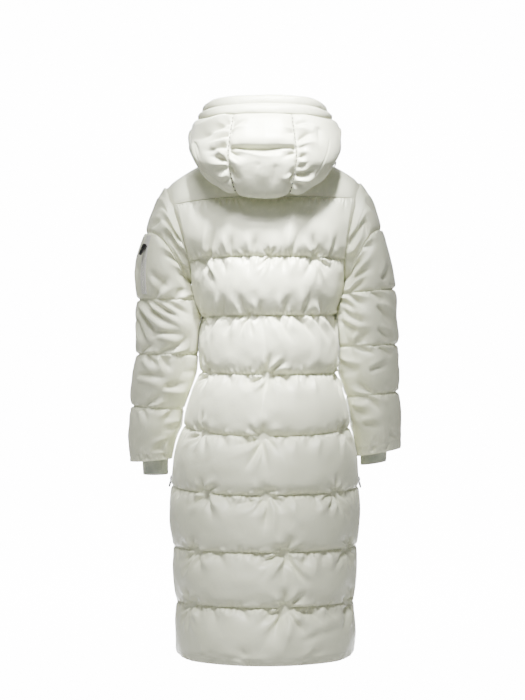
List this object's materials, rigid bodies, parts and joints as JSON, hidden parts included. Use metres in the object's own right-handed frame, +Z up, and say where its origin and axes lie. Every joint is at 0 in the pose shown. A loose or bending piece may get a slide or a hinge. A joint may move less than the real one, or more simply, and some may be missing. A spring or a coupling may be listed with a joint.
{
  "type": "hooded puffer coat",
  "caption": "Long quilted puffer coat, zipped up as worn, hood lying back, sleeves with storm cuffs, sleeve pocket and hand pockets",
  "frame": {"origin": "Between the shoulders, at the neck's height, where the shoulders of whoever wears the coat hold it up", "axes": "+Z up along the coat's height, the front faces -Y, the coat's left as worn is +X"},
  "size_m": [0.577, 0.3674, 1.1562],
  "materials": {
    "shell": "smooth light nylon with a slight sheen, filled and quilted",
    "rib": "fine ribbed knit",
    "tape": "woven zip tape",
    "hardware": "black enamel"
  },
  "bodies": {
    "coat": {"back_yoke": "shell", "back_panel": "shell", "front_left": "shell", "front_right": "shell", "sleeve_left": "shell", "sleeve_right": "shell", "cuff_left": "rib", "cuff_right": "rib", "collar": "shell", "hood_centre": "shell", "hood_side_left": "shell", "hood_side_right": "shell", "hood_band": "shell", "front_zip": "tape", "front_slider": "hardware", "pocket_left": "tape", "pocket_left_slider": "hardware", "pocket_right": "tape", "pocket_right_slider": "hardware", "sleeve_pocket": "tape", "sleeve_pocket_slider": "hardware"},
    "front_tab": {"front_pull": "hardware"},
    "left_tab": {"pocket_left_pull": "hardware"},
    "right_tab": {"pocket_right_pull": "hardware"},
    "sleeve_tab": {"sleeve_pocket_pull": "hardware"}
  },
  "joints": [
    {"name": "front_pull_swing", "type": "hinge", "parent": "coat", "child": "front_tab", "pos_m": [0, -0.11119, 0.01234], "axis": [-1, 0, 0], "range_deg": [0, 120]},
    {"name": "pocket_left_pull_swing", "type": "hinge", "parent": "coat", "child": "left_tab", "pos_m": [0.19809, -0.04404, -0.65961], "axis": [-0.2465, -0.8764, -0.4137], "range_deg": [0, 90]},
    {"name": "pocket_right_pull_swing", "type": "hinge", "parent": "coat", "child": "right_tab", "pos_m": [-0.19857, -0.04401, -0.66175], "axis": [-0.257, 0.8739, 0.4125], "range_deg": [0, 90]},
    {"name": "sleeve_pull_swing", "type": "hinge", "parent": "coat", "child": "sleeve_tab", "pos_m": [0.25029, 0.06476, -0.17391], "axis": [0.7701, -0.6221, 0.1413], "range_deg": [0, 120]}
  ]
}
